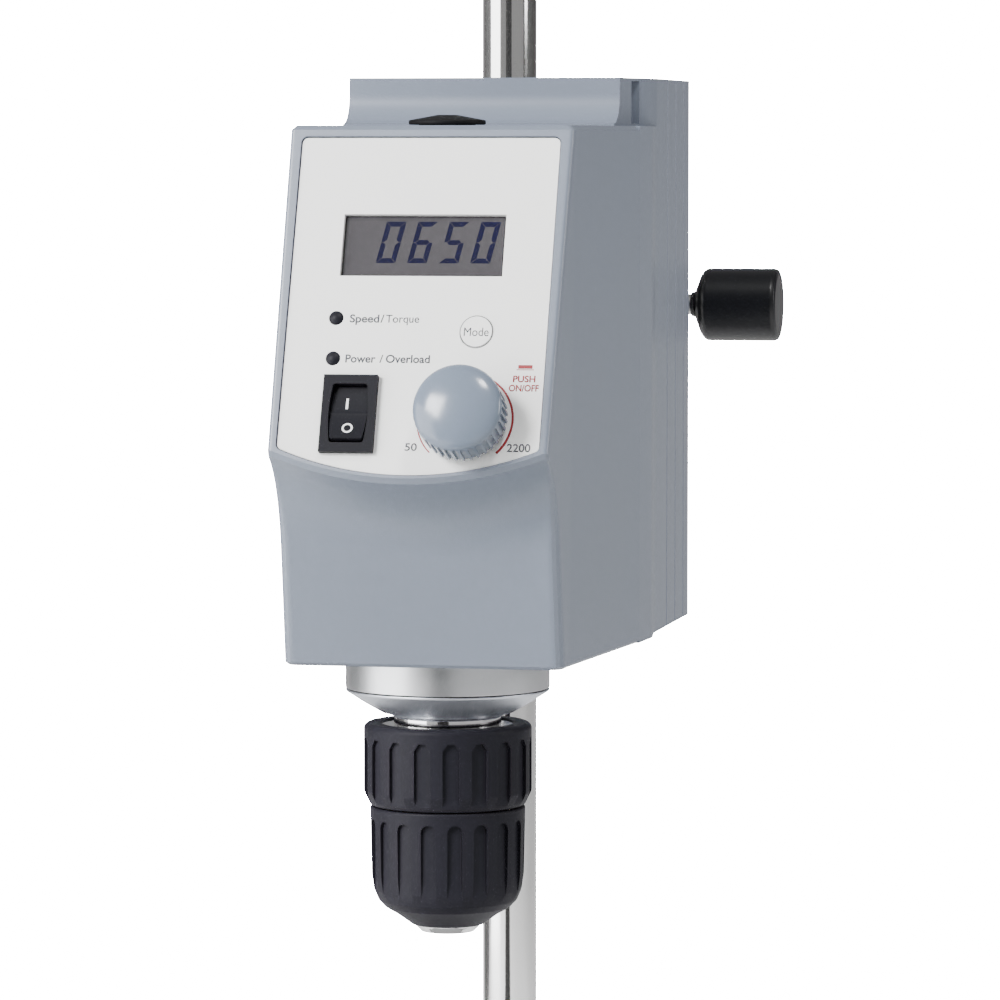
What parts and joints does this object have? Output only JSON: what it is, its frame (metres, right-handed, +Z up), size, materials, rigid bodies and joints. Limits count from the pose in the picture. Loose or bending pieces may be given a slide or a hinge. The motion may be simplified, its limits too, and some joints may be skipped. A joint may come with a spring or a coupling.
{
  "type": "overhead stirrer",
  "caption": "Laboratory overhead stirrer with a control panel, a keyless chuck on a hollow spindle, and a clamped support arm on a stand rod.",
  "frame": {"origin": "On the spindle axis, level with the underside of the housing.", "axes": "+Z up along the spindle, the control panel faces -Y, +X to the right seen from the front."},
  "size_m": [0.1392, 0.3326, 0.378],
  "materials": {
    "housing": "satin paint, light blue-grey",
    "collar": "satin turned",
    "cone": "polished grey",
    "bright_steel": "polished",
    "plain_steel": "machined",
    "chassis": "machined",
    "panel": "fine satin",
    "window": "clear",
    "display": "display",
    "lens": "unlit lamp",
    "black_plastic": "fine texture",
    "chuck_polymer": "fine texture",
    "rubber": "matt",
    "grey_plastic": "smooth",
    "button_plastic": "smooth",
    "board": "circuit board",
    "winding": "enamelled copper",
    "nut_brass": "machined"
  },
  "bodies": {
    "stand": {"stand_rod": "bright_steel"},
    "clamp": {"boss_head": "black_plastic"},
    "rod_knob": {"rod_clamp_screw": "plain_steel", "rod_clamp_knob": "black_plastic"},
    "arm_knob": {"arm_clamp_screw": "plain_steel", "arm_clamp_knob": "black_plastic"},
    "head": {"support_arm": "bright_steel", "arm_socket": "collar", "socket_screws": "plain_steel", "arm_lock_screw": "plain_steel", "front_housing": "housing", "rear_housing": "housing", "housing_screws": "plain_steel", "chassis": "chassis", "control_panel": "panel", "display_window": "window", "display_module": "display", "display_board": "board", "mode_lamp": "lens", "power_lamp": "lens", "mode_switch": "black_plastic", "rocker_frame": "black_plastic", "encoder_body": "plain_steel", "power_inlet": "black_plastic", "serial_port": "plain_steel", "main_board": "board", "motor_can": "chassis", "stator": "winding", "drive_belt": "rubber", "bearing_outer_rings": "plain_steel", "bearing_balls": "plain_steel", "collar": "collar", "seal_ring": "rubber", "bearing_cap": "cone"},
    "cap": {"top_cap": "rubber"},
    "spindle": {"spindle": "plain_steel", "spindle_pulley": "chassis", "chuck_body": "bright_steel", "rear_sleeve": "chuck_polymer", "bearing_inner_rings": "plain_steel"},
    "rotor": {"rotor": "plain_steel", "drive_pulley": "chassis"},
    "sleeve": {"front_sleeve": "chuck_polymer", "jaw_nut": "nut_brass"},
    "jaw_1": {"jaw_1": "plain_steel"},
    "jaw_2": {"jaw_2": "plain_steel"},
    "jaw_3": {"jaw_3": "plain_steel"},
    "push": {"encoder_plunger": "plain_steel"},
    "knob": {"speed_knob": "grey_plastic", "encoder_shaft": "plain_steel"},
    "button": {"mode_button": "button_plastic"},
    "switch": {"rocker": "black_plastic"}
  },
  "joints": [
    {"name": "clamp_height", "type": "slide", "parent": "stand", "child": "clamp", "axis": [0, 0, 1], "range_m": [-0.18, 0.1]},
    {"name": "rod_knob_turn", "type": "hinge", "parent": "clamp", "child": "rod_knob", "pos_m": [-0.0233, 0.202, 0.085], "axis": [-1, 0, 0], "range_deg": [0, 720]},
    {"name": "arm_knob_turn", "type": "hinge", "parent": "clamp", "child": "arm_knob", "pos_m": [0, 0.202, 0.085], "axis": [1, 0, 0], "range_deg": [0, 720]},
    {"name": "arm_reach", "type": "slide", "parent": "clamp", "child": "head", "axis": [0, 1, 0], "range_m": [-0.035, 0.03]},
    {"name": "spindle_turn", "type": "hinge", "parent": "head", "child": "spindle", "pos_m": [0, 0, 0], "axis": [0, 0, 1], "continuous": true},
    {"name": "rotor_turn", "type": "hinge", "parent": "head", "child": "rotor", "pos_m": [0, 0.062, 0.04], "axis": [0, 0, 1], "continuous": true},
    {"name": "sleeve_turn", "type": "hinge", "parent": "spindle", "child": "sleeve", "pos_m": [0, 0, -0.054], "axis": [0, 0, 1], "range_deg": [0, 1800]},
    {"name": "jaw_1_slide", "type": "slide", "parent": "spindle", "child": "jaw_1", "axis": [0, -0.2588, -0.9659], "range_m": [0, 0.018]},
    {"name": "jaw_2_slide", "type": "slide", "parent": "spindle", "child": "jaw_2", "axis": [0.2241, 0.1294, -0.9659], "range_m": [0, 0.018]},
    {"name": "jaw_3_slide", "type": "slide", "parent": "spindle", "child": "jaw_3", "axis": [-0.2241, 0.1294, -0.9659], "range_m": [0, 0.018]},
    {"name": "knob_push", "type": "slide", "parent": "head", "child": "push", "axis": [0, 0.9342, -0.3567], "range_m": [0, 0.0008], "stiffness_N_per_m": 3000, "springref_m": -0.0005},
    {"name": "knob_turn", "type": "hinge", "parent": "push", "child": "knob", "pos_m": [0.014, -0.04683, 0.06383], "axis": [0, -0.9342, 0.3567], "continuous": true},
    {"name": "mode_press", "type": "slide", "parent": "head", "child": "button", "axis": [0, 0.9342, -0.3567], "range_m": [0, 0.0006], "stiffness_N_per_m": 2500, "springref_m": -0.0004},
    {"name": "rocker_tilt", "type": "hinge", "parent": "head", "child": "switch", "pos_m": [-0.01545, -0.04553, 0.06441], "axis": [1, 0, 0], "range_deg": [0, 20]},
    {"name": "cap_lift", "type": "slide", "parent": "head", "child": "cap", "axis": [0, 0, 1], "range_m": [0, 0.02]}
  ],
  "couplings": [
    {"joint": "rotor_turn", "follows": "spindle_turn", "ratio": 2},
    {"joint": "jaw_1_slide", "follows": "sleeve_turn", "m_per_rad": 0.00057295},
    {"joint": "jaw_2_slide", "follows": "sleeve_turn", "m_per_rad": 0.00057295},
    {"joint": "jaw_3_slide", "follows": "sleeve_turn", "m_per_rad": 0.00057295}
  ]
}
